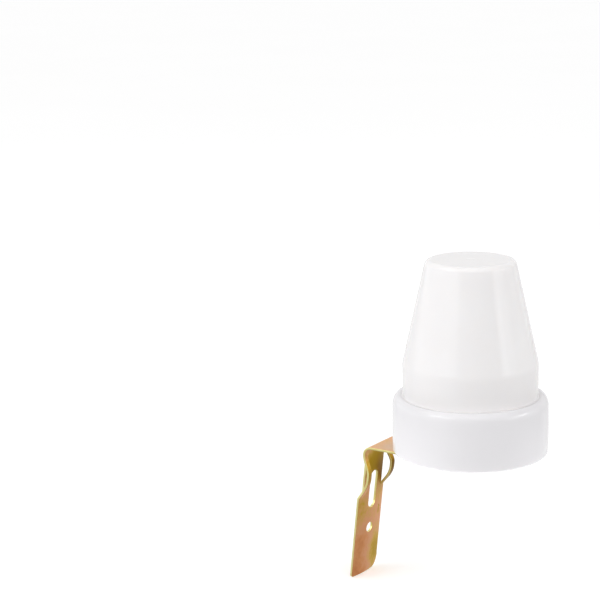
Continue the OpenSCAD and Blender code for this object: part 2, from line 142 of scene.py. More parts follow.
def ramp(tree, factor, stops):
    """Colours along a factor, as a list of places and linear colours."""
    made = tree.nodes.new("ShaderNodeValToRGB")
    band = made.color_ramp
    while len(band.elements) < len(stops):
        band.elements.new(0.5)
    for element, (at, colour) in zip(band.elements, stops):
        element.position = at
        element.color = (*colour, 1)
    tree.links.new(factor, made.inputs["Fac"])
    return made.outputs["Color"]


def spread(tree, factor, low, high):
    """A noise factor mapped to a range of values."""
    made = add(tree, "ShaderNodeMapRange", From_Min=NOISE_LOW, From_Max=NOISE_HIGH,
               To_Min=low, To_Max=high)
    tree.links.new(factor, made.inputs["Value"])
    return made.outputs["Result"]


def emboss(tree, shader, height, strength, distance):
    """Bump from a height, in metres, into the shader's normal."""
    made = add(tree, "ShaderNodeBump", Strength=strength, Distance=distance)
    tree.links.new(height, made.inputs["Height"])
    tree.links.new(made.outputs["Normal"], shader.inputs["Normal"])


def clouded(name, tones, scales, gloss, bump, **sockets):
    """A finish with noise in its colour, roughness and bump, at three scales."""
    material, tree, shader, place = finish(name, **sockets)
    cloud = noise(tree, place, scales[0])
    tint = ramp(tree, cloud, [(NOISE_LOW, tones[0]), (NOISE_HIGH, tones[1])])
    tree.links.new(tint, shader.inputs["Base Color"])
    rough = spread(tree, noise(tree, place, scales[1]), *gloss)
    tree.links.new(rough, shader.inputs["Roughness"])
    emboss(tree, shader, noise(tree, place, scales[2], 2), *bump)
    return material


# %% [markdown]
# ## White plastics
# The dome is a milky plastic: light goes some way into the wall and comes out again, which
# softens its shading. A translucent shader would show the board through it, so subsurface
# scattering under a clear gloss is used instead. The base is a denser white with a trace of
# lavender. A faint noise in colour, roughness and bump keeps both from looking computed.

# %% Dome and base finishes
MOULD_GRAIN = (0.03, 0.05 * MM)
COVER_PLASTIC = clouded(
    "cover_plastic", ((0.939, 0.899, 0.897), (0.954, 0.916, 0.914)), (60, 240, 420),
    (0.05, 0.08), MOULD_GRAIN, IOR=1.49, Subsurface_Weight=0.5, Subsurface_Scale=0.002,
    Subsurface_Radius=(1.0, 0.95, 0.9))
BASE_PLASTIC = clouded(
    "base_plastic", ((0.81, 0.796, 0.815), (0.83, 0.816, 0.835)), (45, 240, 300),
    (0.07, 0.11), MOULD_GRAIN, IOR=1.5, Subsurface_Weight=0.12, Subsurface_Scale=0.003,
    Subsurface_Radius=(1.0, 0.95, 0.95))
print("white plastics:", COVER_PLASTIC.name, BASE_PLASTIC.name)

# %% [markdown]
# ## Plated steel
# Yellow passivation is a thin film whose colour drifts with its thickness, from olive gold
# through pink brown to copper. A single noise would give even clouds, so the thickness is a sum:
# a broad noise for the drift, a fine one for the grain, and soft round spots where the bath left
# the film thin or thick. The spots in the inner bend and on the straps' insides also paint shade
# there. A ramp turns the thickness into colour. More spots paint shade on the neck, the bend and
# the straps, and a pale painted sheen on the arm. The stamped mark has a thinner film than the
# face, and the sheared edge is brighter and yellower than both.

# %% Bracket finishes
# Most spots set the film's thickness; the ones in the bend and on the straps also paint shade.
FILM_AND_SHADE_SPOTS = [
    ((-38, 0, -10), 12, -0.85), ((-42, -9, -27), 11, -0.22), ((-45, 7, -48), 14, -0.6),
    ((-36, 9, -13), 9, -0.35), ((-37, -9, -13), 9, -0.3), ((-46, -4, -55), 16, 0.4),
    ((-44, -5, -42), 13, 0.26), ((-41, 6, -17), 11, -0.4)]
# Painted shade: darker spots on the neck, the bend and the straps.
PAINTED_SHADE_SPOTS = [((-40, 5, -14), 14, 0.9), ((-37, 1, -7), 9, 0.08), ((-38, -7, -15), 9, 0.45),
              ((-35, 9, -14), 11, 1.2), ((-41, 6, -19), 9, 0.45)]
# Painted sheen: paler spots on the arm, a painted reflection of the bright room.
PAINTED_SHEEN_SPOTS = [((-30, -3, -2), 12, 1.6), ((-29, 6, -2), 11, 1.2)]
# Tones of the painted shade and the painted sheen.
PAINTED_SHADE_TONE, PAINTED_SHEEN_TONE = (0.45, 0.36, 0.2), (0.78, 0.518, 0.323)
DRIFT_SCALE, GRAIN_SCALE, GLOSS_SCALE, BRUSH_SCALE, SHEAR_SCALE = 130, 700, 900, 1500, 250
DRIFT_SHARE, GRAIN_SHARE = 0.5, 0.38
FACE_GLOSS, EDGE_GLOSS = (0.33, 0.43), (0.35, 0.45)
BRUSH_DEPTH = (0.08, 0.02 * MM)
STAMP_SHIFT = -0.3
FILM_COLOURS = [
    (0.05, (0.62, 0.38, 0.008)), (0.2, (0.74, 0.46, 0.05)), (0.34, (0.88, 0.5, 0.17)),
    (0.48, (0.94, 0.47, 0.24)), (0.62, (0.9, 0.4, 0.16)), (0.85, (0.74, 0.26, 0.085))]
EDGE_COLOURS = [(0.35, (0.92, 0.8, 0.3)), (0.65, (1.0, 0.93, 0.45))]


def combine(tree, operation, a, b):
    """A math node on two outputs, or on an output and a number."""
    made = add(tree, "ShaderNodeMath", {"operation": operation})
    for socket, value in zip(made.inputs, (a, b)):
        if isinstance(value, (int, float)):
            socket.default_value = value
        else:
            tree.links.new(value, socket)
    return made.outputs["Value"]


def soft_spots(tree, place, places):
    """Soft round spots of (centre, radius, weight) in millimetres, summed into one factor."""
    total = None
    for centre, radius, weight in places:
        mapping = add(tree, "ShaderNodeMapping", {"vector_type": "TEXTURE"},
                      Location=Vector(centre) * MM, Scale=(radius * MM,) * 3)
        spot = add(tree, "ShaderNodeTexGradient", {"gradient_type": "QUADRATIC_SPHERE"})
        tree.links.new(place, mapping.inputs["Vector"])
        tree.links.new(mapping.outputs["Vector"], spot.inputs["Vector"])
        weighted = combine(tree, "MULTIPLY", spot.outputs["Fac"], weight)
        total = combine(tree, "ADD", total, weighted) if total else weighted
    return total


def dabbed(tree, place, colour, places, blend_type, tone):
    """A colour with soft spots of another tone dabbed on it."""
    made = add(tree, "ShaderNodeMix", {"data_type": "RGBA", "blend_type": blend_type})
    made.inputs["B"].default_value = (*tone, 1)
    tree.links.new(soft_spots(tree, place, places), made.inputs["Factor"])
    tree.links.new(colour, made.inputs["A"])
    return made.outputs["Result"]


def plated_face(name, shift):
    """Yellow passivated zinc: olive gold where the film is thin, copper where it is thick."""
    material, tree, shader, place = finish(name, Metallic=1.0)
    drift = combine(tree, "MULTIPLY", noise(tree, place, DRIFT_SCALE), DRIFT_SHARE)
    fine = noise(tree, place, GRAIN_SCALE, 4, (1, 1, 0.8))
    grain = combine(tree, "MULTIPLY", fine, GRAIN_SHARE)
    film = combine(tree, "ADD", combine(tree, "ADD", drift, grain), shift)
    # The thickness spots, which also paint shade in the bend and on the straps.
    film = combine(tree, "ADD", film, soft_spots(tree, place, FILM_AND_SHADE_SPOTS))
    colour = ramp(tree, film, FILM_COLOURS)
    # Painted shade, multiplied in on the neck, the bend and the straps.
    colour = dabbed(tree, place, colour, PAINTED_SHADE_SPOTS, "MULTIPLY", PAINTED_SHADE_TONE)
    # Painted sheen, mixed in on the arm.
    colour = dabbed(tree, place, colour, PAINTED_SHEEN_SPOTS, "MIX", PAINTED_SHEEN_TONE)
    tree.links.new(colour, shader.inputs["Base Color"])
    rough = spread(tree, noise(tree, place, GLOSS_SCALE, 3, (1, 1, 0.3)), *FACE_GLOSS)
    tree.links.new(rough, shader.inputs["Roughness"])
    emboss(tree, shader, noise(tree, place, BRUSH_SCALE, 3, (1, 1, 0.2)), *BRUSH_DEPTH)
    return material


def plated_edge():
    """The sheared edge, brighter and yellower, with the marks of the shear."""
    material, tree, shader, place = finish("plated_edge", Metallic=1.0)
    mark = noise(tree, place, SHEAR_SCALE, 2)
    film = ramp(tree, mark, EDGE_COLOURS)
    tree.links.new(film, shader.inputs["Base Color"])
    tree.links.new(spread(tree, mark, *EDGE_GLOSS), shader.inputs["Roughness"])
    return material


PLATED_FACE = plated_face("plated_face", 0)
PLATED_STAMP = plated_face("plated_stamp", STAMP_SHIFT)
PLATED_EDGE = plated_edge()
print("bracket finishes:", PLATED_FACE.name, PLATED_STAMP.name, PLATED_EDGE.name)

# %% [markdown]
# ## Turned shapes
# The dome, the base, the screw and the grommet are bodies of revolution. They could be stacked
# from cylinders and cones, but then every edge would need a fillet of its own. Here each starts
# as a few points of its half section. A vertex bevel rounds the corners while the section is
# still a wire, which gives true arcs, and one spin turns the wire into a closed skin. A point on
# each side of an arc keeps the flat faces beside it flat when they are shaded smooth.

# %% Spin a rounded section
SPIN_STEPS = 192
ARC_STEPS = 12
SHARP = math.radians(32)
HOLD = 0.15 * MM
CLOSE = 0.002 * MM


def corner_offset(before, corner, after, radius):
    """How far a fillet of that radius reaches along the two edges of a corner."""
    angle = (before - corner).angle(after - corner)
    return radius / math.tan(angle / 2)


def held_corners(section):
    """Corner points and their bevel reach, with a point beside each fillet to hold the shading."""
    points = [Vector((r, 0, z)) * MM for r, z, _ in section]
    held = []
    for i, (_, _, fillet) in enumerate(section):
        before, corner, after = points[i - 1], points[i], points[(i + 1) % len(points)]
        if not fillet:
            held.append((corner, 0))
            continue
        reach = corner_offset(before, corner, after, fillet * MM)
        held.append((corner + (before - corner).normalized() * (reach + HOLD), 0))
        held.append((corner, reach))
        held.append((corner + (after - corner).normalized() * (reach + HOLD), 0))
    return held


def rounded_wire(bm, section, closed):
    """A wire in the XZ plane from (radius, height, fillet) points in millimetres."""
    corners = held_corners(section)
    verts = [bm.verts.new(point) for point, _ in corners]
    pairs = list(zip(verts, verts[1:]))
    if closed:
        pairs.append((verts[-1], verts[0]))
    for a, b in pairs:
        bm.edges.new((a, b))
    for vert, (_, reach) in zip(verts, corners):
        if reach:
            bmesh.ops.bevel(bm, geom=[vert], offset=reach, offset_type="OFFSET",
                            segments=ARC_STEPS, profile=0.5, affect="VERTICES", material=-1)


def spin_wire(bm):
    """One full turn of everything in the mesh about Z, closed at its seam and its poles."""
    bmesh.ops.spin(bm, geom=bm.verts[:] + bm.edges[:], cent=(0, 0, 0), axis=(0, 0, 1),
                   dvec=(0, 0, 0), angle=math.tau, steps=SPIN_STEPS, use_merge=True,
                   use_duplicate=False)
    bmesh.ops.remove_doubles(bm, verts=bm.verts, dist=CLOSE)
    bmesh.ops.recalc_face_normals(bm, faces=bm.faces)


def keep_piece(name, bm, materials, slot, *nodes):
    """Turns a bmesh into a finished piece that rides on the body and stands for CAD nodes."""
    mesh = bpy.data.meshes.new(name)
    bm.to_mesh(mesh)
    bm.free()
    for polygon in mesh.polygons:
        polygon.use_smooth = True
    mesh.set_sharp_from_angle(angle=SHARP)
    for material in materials:
        mesh.materials.append(material)
    piece = bpy.data.objects.new(name, mesh)
    scene.collection.objects.link(piece)
    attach(piece, "root")
    if nodes:
        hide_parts(*nodes)
    print(name, "has", len(mesh.polygons), "faces")
    return piece


# %% [markdown]
# ## The dome
# The cover is one moulding: a snap flange hidden in the base, a short straight band, a cone and
# a flat top with a rounded edge. A cone and a cylinder could be joined, but a single section
# keeps the wall even and lets the crease between band and cone be eased, as a moulding's is. Its
# sizes are read off the frame's own box where they can be. A small hollow skirt rests on the
# base's lip, and a shallow round dent in the top is the mark that the moulding gate leaves.

# %% Model the dome
COVER_LOW, COVER_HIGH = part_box("cover")
BASE_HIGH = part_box("base")[1]
FLANGE_R = COVER_HIGH.x / MM
FLANGE_Z = COVER_LOW.z / MM
COVER_TOP = COVER_HIGH.z / MM
SNAP_DEPTH = 1.2
SNAP_HEIGHT = 3.0
BAND_R = FLANGE_R - SNAP_DEPTH
SNAP_FILLET = 0.3
CREASE_Z, CREASE_FILLET = 31.7, 8.0
TOP_R, TOP_FILLET = 15.5, 2.0
WALL = 1.5
INNER_CREASE_FILLET, INNER_TOP_FILLET = 3.0, 1.0
GATE_R, GATE_DEEP, GATE_SLOPE, GATE_HOLD = 1.3, 0.04, 0.2, 0.1
SKIRT_W, SKIRT_FILLET, SKIRT_EDGE, SKIRT_FOOT = 0.65, 0.45, 0.3, 0.5
SKIRT_UNDER_CREST = 0.04
SKIRT_Z = BASE_HIGH.z / MM - SKIRT_UNDER_CREST


def dome():
    """The cover: from the top down outside to its flange, then up again inside."""
    inner_r = BAND_R - WALL
    gate_z = COVER_TOP - GATE_DEEP
    gate_out = GATE_R + GATE_HOLD + GATE_SLOPE
    snap_z = FLANGE_Z + SNAP_HEIGHT
    section = [
        (0, gate_z, 0), (GATE_R, gate_z, 0), (GATE_R + GATE_HOLD, gate_z, 0),
        (gate_out, COVER_TOP, 0), (gate_out + GATE_HOLD, COVER_TOP, 0),
        (TOP_R, COVER_TOP, TOP_FILLET), (BAND_R, CREASE_Z, CREASE_FILLET),
        (BAND_R, SKIRT_Z, SKIRT_FILLET),
        (BAND_R + SKIRT_W, SKIRT_Z, 0), (BAND_R + SKIRT_W, SKIRT_Z - SKIRT_EDGE, 0),
        (BAND_R, SKIRT_Z - SKIRT_FOOT, 0), (BAND_R, snap_z, 0),
        (FLANGE_R, snap_z, SNAP_FILLET), (FLANGE_R, FLANGE_Z, SNAP_FILLET),
        (inner_r, FLANGE_Z, 0), (inner_r, CREASE_Z, INNER_CREASE_FILLET),
        (TOP_R - WALL, COVER_TOP - WALL, INNER_TOP_FILLET), (0, COVER_TOP - WALL, 0)]
    bm = bmesh.new()
    rounded_wire(bm, section, closed=False)
    spin_wire(bm)
    return keep_piece("dome", bm, [COVER_PLASTIC], "cover_plastic", "cover")


dome()

# %% [markdown]
# ## The base
# The base is a bowl with a rounded rim that hugs the dome. Its section is turned round the wire
# outlet, so the hole in the floor comes with the spin. The rim is higher than it is wide, which
# a fillet can't give, so it is a quarter oval of points that falls gently to the lip. The ribs,
# posts and rails are small blocks with eased edges that grow out of the bowl, as they would from
# pockets in its mould.

# %% Measure the base
BASE_R = BASE_HIGH.x / MM
BASE_TOP = BASE_HIGH.z / MM
FIT = 0.12
SHOULDER_DROP = 3.6
CROWN = 0.15
CROWN_R = 250
CREST_R = 24.9
LIP_DROP = 0.2
LIP_HEIGHT = 4.0
FOOT_ROUND = 1.0
FLOOR, FLOOR_FILLET = 2.5, 0.5
OUTLET_HOLE_R = 5.8
SINK = 0.3
RIB = 1.6
POST_W, POST_HEIGHT, POST_EASE = 4.8, 13.5, 0.1
LEDGES, LEDGE_DEEP = 8, 2.0
RAIL_SETBACK, RAIL_LIP = 6.5, 0.6
BOSS_R, BOSS_STEPS = 5.0, 48
STRAP_W = 2.2
BOARD_LOW, BOARD_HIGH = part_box("circuit_board")
STRIP_LOW, STRIP_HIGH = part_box("bracket")
SCREW_LOW, SCREW_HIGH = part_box("bracket_screw")
STRIP_W = (STRIP_HIGH.y - STRIP_LOW.y) / MM
SEAT = -STRIP_HIGH.z / MM
ARM_END = -STRIP_HIGH.x / MM
SCREW_X = -(SCREW_LOW.x + SCREW_HIGH.x) / 2 / MM
WALL_IN = FLANGE_R + FIT
print("base:", round(2 * BASE_R, 2), "mm across and", round(BASE_TOP, 2), "mm high")

# %% Turn the bowl


def rim(side, lip, steps=14):
    """The rim's points: a quarter oval up to its crest, then a gentle fall to the lip."""
    points = []
    for i in range(steps):
        turn = math.pi / 2 * i / steps
        points.append((CREST_R + (side - CREST_R) * math.cos(turn),
                       BASE_TOP - SHOULDER_DROP * (1 - math.sin(turn)), 0))
    for i in range(steps + 1):
        part = i / steps
        points.append((CREST_R + (lip - CREST_R) * part, BASE_TOP - LIP_DROP * part ** 2, 0))
    return points


def turned_bowl():
    """The bowl's closed section, turned round the wire outlet."""
    bm = bmesh.new()
    lip_low = BASE_TOP - LIP_HEIGHT
    section = [
        (OUTLET_HOLE_R, 0, 0), (BASE_R - CROWN, 0, FOOT_ROUND), (BASE_R, BASE_TOP / 2, CROWN_R),
        *rim(BASE_R - CROWN, BAND_R), (BAND_R, lip_low, 0), (WALL_IN, lip_low, 0),
        (WALL_IN, FLOOR, FLOOR_FILLET), (OUTLET_HOLE_R, FLOOR, 0)]
    rounded_wire(bm, section, closed=True)
    spin_wire(bm)
    return bm


bowl = turned_bowl()
print("bowl has", len(bowl.faces), "faces before its ribs")

# %% Grow the ribs, posts and rails


def block(bm, low, high, chamfer=0.2):
    """A box between two corners, in millimetres, with eased edges."""
    low, high = Vector(low) * MM, Vector(high) * MM
    size = high - low
    place = Matrix.Translation((low + high) / 2) @ Matrix.Diagonal((*size, 1))
    made = bmesh.ops.create_cube(bm, size=1, matrix=place)
    edges = list({e for v in made["verts"] for e in v.link_edges})
    bmesh.ops.bevel(bm, geom=edges, offset=chamfer * MM, offset_type="OFFSET", segments=2,
                    profile=0.5, affect="EDGES", material=-1)


def board_post(bm, side):
    """A post with a groove for the board's wing: a foot, a back and two cheeks."""
    board_low, board_high = BOARD_LOW.y / MM - FIT, BOARD_HIGH.y / MM + FIT
    low = (board_low + board_high - POST_W) / 2
    near = BOARD_HIGH.x / MM - POST_W / 2
    groove = BOARD_HIGH.x / MM + FIT
    step = BOARD_LOW.z / MM
    top = FLOOR + POST_HEIGHT
    for start, end, front, back, foot, height in (
            (near, groove + SINK, low, low + POST_W, FLOOR - SINK, step),
            (groove, near + POST_W, low, low + POST_W, FLOOR - SINK, top),
            (near, groove + SINK, low, board_low, step - SINK, top),
            (near, groove + SINK, board_high, low + POST_W, step - SINK, top)):
        xs = sorted((side * start, side * end))
        block(bm, (xs[0], front, foot), (xs[1], back, height), POST_EASE)


def base(bm):
    """The bowl with the seat for the bracket's arm, the ledges and the board's posts."""
    slit = STRIP_W / 2 - STRAP_W
    rail = BASE_R - ARM_END - RAIL_SETBACK
    for side in (-1, 1):
        for y, drop in ((slit - RIB / 2, SEAT), (STRIP_W / 2 + FIT, SEAT + RAIL_LIP)):
            ys = sorted((side * y, side * (y + RIB)))
            block(bm, (-ARM_END - rail, ys[0], -drop), (-ARM_END, ys[1], SINK))
        board_post(bm, side)
    boss = Matrix.Translation(Vector((-SCREW_X, 0, (SINK - SEAT) / 2)) * MM)
    bmesh.ops.create_cone(bm, cap_ends=True, segments=BOSS_STEPS, radius1=BOSS_R * MM,
                          radius2=BOSS_R * MM, depth=(SEAT + SINK) * MM, matrix=boss)
    for i in range(LEDGES):
        start = len(bm.verts)
        block(bm, (WALL_IN - LEDGE_DEEP, -RIB / 2, FLOOR - SINK),
              (WALL_IN + FIT, RIB / 2, FLANGE_Z))
        bm.verts.ensure_lookup_table()
        turn = Matrix.Rotation((i + 0.5) * math.tau / LEDGES, 3, "Z")
        bmesh.ops.rotate(bm, cent=(0, 0, 0), matrix=turn, verts=bm.verts[start:])
    return keep_piece("base_bowl", bm, [BASE_PLASTIC], "base_plastic", "base")


base(bowl)

# %% [markdown]
# ## The bracket's blank
# The real bracket is punched from sheet and then folded. It could be built from bent boxes, but
# the straps, the bend and the hollow leg run into each other, so the model is made as the real
# one is. The blank is a flat outline with its slot, round hole, two slits and a small arrow,
# filled in one go. Planes then cut it into narrow strips, so that it can bend.

# %% Measure the bracket
SHEET = 0.8
LEG_X = 39.35
LEG_LEN = 52.0
LEG_LEAN = math.radians(6.8)
BEND_R = 3.3
POLE_R = 47.0
ARM_CORNER, NEAR_CORNER, FAR_CORNER = 4.0, 0.8, 3.8
SLOT_W, SLOT_TOP, SLOT_LEN, SLOT_FLAT = 4.6, 11.3, 14.7, 0.001
HOLE_D, HOLE_AT, HOLE_STEPS = 3.9, 34.0, 32
SCREW_HOLE_D = 4.5
NEAR_STRAP = {"bow": 2.5, "crest": 11.2, "end": 20.6}
FAR_STRAP = {"bow": 3.3, "crest": 9.4, "end": 18.7}
SHEAR, SHEAR_BELOW_BEND = 0.3, 0.2
ARROW_ACROSS, ARROW_TIP, ARROW_LEN = 5.5, 26.4, 3.6
ARROW_HALF, ARROW_HEAD, ARROW_SHAFT, ARROW_DEEP = 0.85, 1.3, 0.25, 0.1
FACE, EDGE, STAMP = 0, 1, 2
ARM_TOP = -SEAT
BEND_TURN = math.pi / 2 - LEG_LEAN
BEND_END = BEND_R * (1 - math.sin(LEG_LEAN)) / math.cos(LEG_LEAN)
BEND_LEN = BEND_R * BEND_TURN
BEND_X = -LEG_X + BEND_END
ARM_LEN = -ARM_END - BEND_X
print("arm", round(ARM_LEN, 2), "mm, bend", round(BEND_LEN, 2), "mm, leg", LEG_LEN, "mm")

# %% Punch the blank


def rounded_loop(bm, corners, fillets=(), segments=8):
    """A closed wire of (across, along) corners, rounded by a vertex bevel where asked."""
    points = [Vector((y, s, 0)) for y, s in corners]
    verts = [bm.verts.new(p) for p in points]
    edges = [bm.edges.new(pair) for pair in zip(verts, verts[1:] + verts[:1])]
    for i, fillet in enumerate(fillets):
        if fillet:
            after = points[(i + 1) % len(points)]
            reach = corner_offset(points[i - 1], points[i], after, fillet)
            bmesh.ops.bevel(bm, geom=[verts[i]], offset=reach, offset_type="OFFSET",
                            segments=segments, profile=0.5, affect="VERTICES", material=-1)
    return edges


def rectangle(across, start, end):
    """Four corners of a rectangle between two values across and two along."""
    return [(across[0], start), (across[1], start), (across[1], end), (across[0], end)]


def down_leg(distance):
    """Place along the blank of a distance down the leg."""
    return ARM_LEN + BEND_LEN + distance - BEND_END


def arrow_outline():
    """Corners of a plain arrow that points up the leg."""
    tip = down_leg(ARROW_TIP)
    side = [(0, tip), (ARROW_HALF, tip + ARROW_HEAD), (ARROW_SHAFT, tip + ARROW_HEAD),
            (ARROW_SHAFT, tip + ARROW_LEN)]
    mirrored = [(-y, s) for y, s in side[:0:-1]]
    return [(ARROW_ACROSS + y, s) for y, s in side + mirrored]


def punched_blank():
    """The flat sheet: x across, y along from the arm's free end, in millimetres."""
    bm = bmesh.new()
    half = STRIP_W / 2
    slit = half - STRAP_W
    end = down_leg(LEG_LEN)
    rounded_loop(bm, rectangle((-half, half), 0, end),
                 [ARM_CORNER, ARM_CORNER, FAR_CORNER, NEAR_CORNER])
    end_round = SLOT_W / 2 - SLOT_FLAT
    slot = (down_leg(SLOT_TOP), down_leg(SLOT_TOP + SLOT_LEN))
    rounded_loop(bm, rectangle((-SLOT_W / 2, SLOT_W / 2), *slot), [end_round] * 4)
    for side, strap in ((-1, NEAR_STRAP), (1, FAR_STRAP)):
        across = sorted((side * (slit - SHEAR / 2), side * (slit + SHEAR / 2)))
        start = down_leg(BEND_END + SHEAR_BELOW_BEND)
        rounded_loop(bm, rectangle(across, start, down_leg(strap["end"])))
    for diameter, along in ((HOLE_D, down_leg(HOLE_AT)), (SCREW_HOLE_D, SCREW_X - ARM_END)):
        bmesh.ops.create_circle(bm, segments=HOLE_STEPS, radius=diameter / 2,
                                matrix=Matrix.Translation((0, along, 0)))
    arrow = rounded_loop(bm, arrow_outline())
    bmesh.ops.triangle_fill(bm, use_beauty=True, use_dissolve=False, edges=bm.edges[:])
    mark = bmesh.ops.triangle_fill(bm, use_beauty=True, use_dissolve=False, edges=arrow)
    for face in mark["geom"]:
        if isinstance(face, bmesh.types.BMFace):
            face.material_index = STAMP
    return bm


blank = punched_blank()
print("blank has", len(blank.faces), "faces before its cuts")

# %% Cut the blank into strips
STRAPS_END = NEAR_STRAP["end"] + 1
BEND_CUTS, STRAP_CUTS, BLADE_CUTS, CROSS_CUTS = 16, 48, 12, 24
ON_PLANE, SLIVER = 0.04, 0.06


def cut_strips(bm, axis, start, end, count):
    """Even cuts across the sheet along an axis."""
    normal = Vector((1, 0, 0)) if axis == "x" else Vector((0, 1, 0))
    for i in range(1, count):
        point = normal * (start + (end - start) * i / count)
        bmesh.ops.bisect_plane(bm, geom=bm.verts[:] + bm.edges[:] + bm.faces[:], dist=ON_PLANE,
                               plane_co=point, plane_no=normal)


cut_strips(blank, "y", ARM_LEN, down_leg(BEND_END), BEND_CUTS)
cut_strips(blank, "y", down_leg(BEND_END), down_leg(STRAPS_END), STRAP_CUTS)
cut_strips(blank, "y", down_leg(STRAPS_END), down_leg(LEG_LEN), BLADE_CUTS)
cut_strips(blank, "x", -STRIP_W / 2, STRIP_W / 2, CROSS_CUTS)
bmesh.ops.remove_doubles(blank, verts=blank.verts, dist=SLIVER)
print("blank has", len(blank.faces), "faces before folding")

# %% [markdown]
# ## Folding the bracket
# Each point of the blank moves to where the press puts it: along the arm, round the bend, down
# the leaning leg, hollow at the back, with the two side straps bowed forward. A Simple Deform
# modifier bends one way at a time, so a function gives each point its place instead.

# %% Shape the fold
CREST_LEN = 1.0
STRAP_KNEE = 0.6
FLATTEN = 4.0


def ease(t):
    """Smooth step from 0 to 1."""
    t = min(1, max(0, t))
    return (1 - math.cos(math.pi * t)) / 2


def fall(t):
    """Fall from 0 to 1 that ends straight, in a crease."""
    t = min(1, max(0, t))
    if t < STRAP_KNEE:
        return t * t / (STRAP_KNEE * (2 - STRAP_KNEE))
    return (2 * t - STRAP_KNEE) / (2 - STRAP_KNEE)


def hollow(across):
    """How far the pole side of the leg drops back at a distance from its middle."""
    return POLE_R - math.sqrt(POLE_R ** 2 - across ** 2)


def forward(across, distance):
    """How far the sheet stands forward of the leg's plane."""
    strap = FAR_STRAP if across > 0 else NEAR_STRAP
    in_strap = abs(across) > STRIP_W / 2 - STRAP_W
    if not in_strap or distance > strap["end"]:
        return -hollow(across) * ease((distance - BEND_END) / FLATTEN)
    rise = strap["bow"] * ease((distance - BEND_END) / (strap["crest"] - BEND_END))
    crest_end = strap["crest"] + CREST_LEN
    drop = strap["bow"] + hollow(across)
    return rise - drop * fall((distance - crest_end) / (strap["end"] - crest_end))


def folded(across, along):
    """Where a point of the blank's upper face lies on the folded bracket."""
    if along <= ARM_LEN:
        return Vector((-ARM_END - along, across, ARM_TOP))
    if along <= ARM_LEN + BEND_LEN:
        turn = (along - ARM_LEN) / BEND_R
        return Vector((BEND_X - BEND_R * math.sin(turn), across,
                       ARM_TOP - BEND_R + BEND_R * math.cos(turn)))
    distance = along - ARM_LEN - BEND_LEN + BEND_END
    out = forward(across, distance)
    return Vector((-LEG_X + out * math.cos(LEG_LEAN) - distance * math.sin(LEG_LEAN), across,
                   ARM_TOP - out * math.sin(LEG_LEAN) - distance * math.cos(LEG_LEAN)))


for vert in blank.verts:
    vert.co = folded(vert.co.x, vert.co.y) * MM
print("lowest point:", round(min(vert.co.z for vert in blank.verts) / MM, 2), "mm")

# %% [markdown]
# ## Sheet, stamp and edges
# A Solidify modifier could thicken the sheet, but the stamped mark and the broken edges need the
# thick mesh, so the operator does it here. An inset with a depth stamps the arrow. Edges with a
# sharp angle are the sheared ones: their faces get the edge finish, and a small bevel breaks them.

# %% Thicken the bracket
EDGE_BREAK, EDGE_ANGLE = 0.1, math.radians(60)


def bracket(bm):
    """Thickens the folded sheet inwards, stamps its mark and breaks its edges."""
    bmesh.ops.recalc_face_normals(bm, faces=bm.faces)
    bm.faces.ensure_lookup_table()
    top = max(bm.faces, key=lambda face: face.calc_center_median().x)
    if top.normal.z < 0:
        bmesh.ops.reverse_faces(bm, faces=bm.faces)
    bmesh.ops.solidify(bm, geom=bm.faces[:], thickness=SHEET * MM)
    bmesh.ops.recalc_face_normals(bm, faces=bm.faces)
    marked = [face for face in bm.faces if face.material_index == STAMP]
    front = [face for face in marked if face.normal.x > 0.5]
    for face in marked:
        face.material_index = STAMP if face in front else FACE
    bmesh.ops.inset_region(bm, faces=front, thickness=ARROW_DEEP * MM, depth=-ARROW_DEEP * MM)
    print("stamped faces:", len(front))
    sheared = {e for e in bm.edges if len(e.link_faces) == 2
               and e.calc_face_angle() > EDGE_ANGLE}
    for face in bm.faces:
        if sum(e in sheared for e in face.edges) > 1:
            face.material_index = EDGE
    bmesh.ops.bevel(bm, geom=list(sheared), offset=EDGE_BREAK * MM, offset_type="OFFSET",
                    segments=2, profile=0.5, affect="EDGES", clamp_overlap=True, material=-1)
    bmesh.ops.dissolve_degenerate(bm, dist=CLOSE, edges=bm.edges)
    bmesh.ops.triangulate(bm, faces=[f for f in bm.faces if len(f.verts) > 4])
    return keep_piece("folded_bracket", bm, [PLATED_FACE, PLATED_EDGE, PLATED_STAMP],
                      "plated_strip", "bracket")


bracket(blank)

# %% [markdown]
# ## Everything inside
# The board and its components are plain shapes that the CAD already has right, so they keep its
# meshes. Each still gets a finish whose colour and gloss drift a little, as lacquer, rubber and
# moulded resin do, so that the object is complete when it is opened.

# %% Finish the carried-over nodes
GRAIN = (0.1, 0.02 * MM)


def speckled(name, low, high, scale, gloss, metallic=0.0):
    """A finish that drifts between two tones, with finer noise in its gloss and surface."""
    return clouded(name, (low, high), (scale, scale * 3, scale * 6), gloss, GRAIN,
                   Metallic=metallic)


